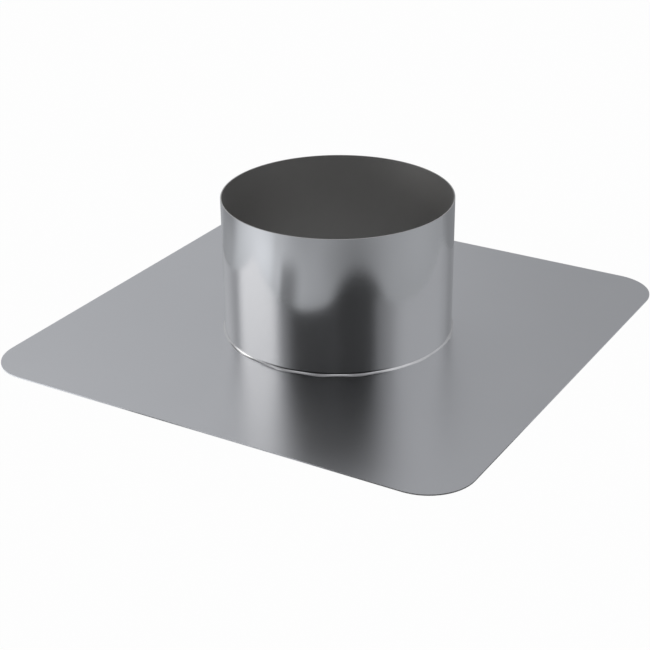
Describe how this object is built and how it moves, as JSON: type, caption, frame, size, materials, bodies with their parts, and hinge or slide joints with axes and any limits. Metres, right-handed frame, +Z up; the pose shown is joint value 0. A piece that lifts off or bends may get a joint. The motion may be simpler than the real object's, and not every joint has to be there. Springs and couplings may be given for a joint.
{
  "type": "pipe flashing boot",
  "caption": "Flat roof flashing of sheet steel: a square plate with rounded corners and a straight round pipe collar welded at its centre.",
  "frame": {"origin": "centre of the plate's underside, on the collar's axis", "axes": "+Z up the collar, away from the roof; X and Y along the plate's sides"},
  "size_m": [0.33, 0.33, 0.092],
  "materials": {
    "plate_sheet": "satin rolled stainless sheet",
    "collar_sheet": "smooth rolled stainless sheet, glossier than the plate",
    "weld_metal": "bright, slightly uneven weld bead"
  },
  "bodies": {
    "root": {"base_plate": "plate_sheet", "collar": "collar_sheet", "foot_weld": "weld_metal"}
  },
  "joints": []
}
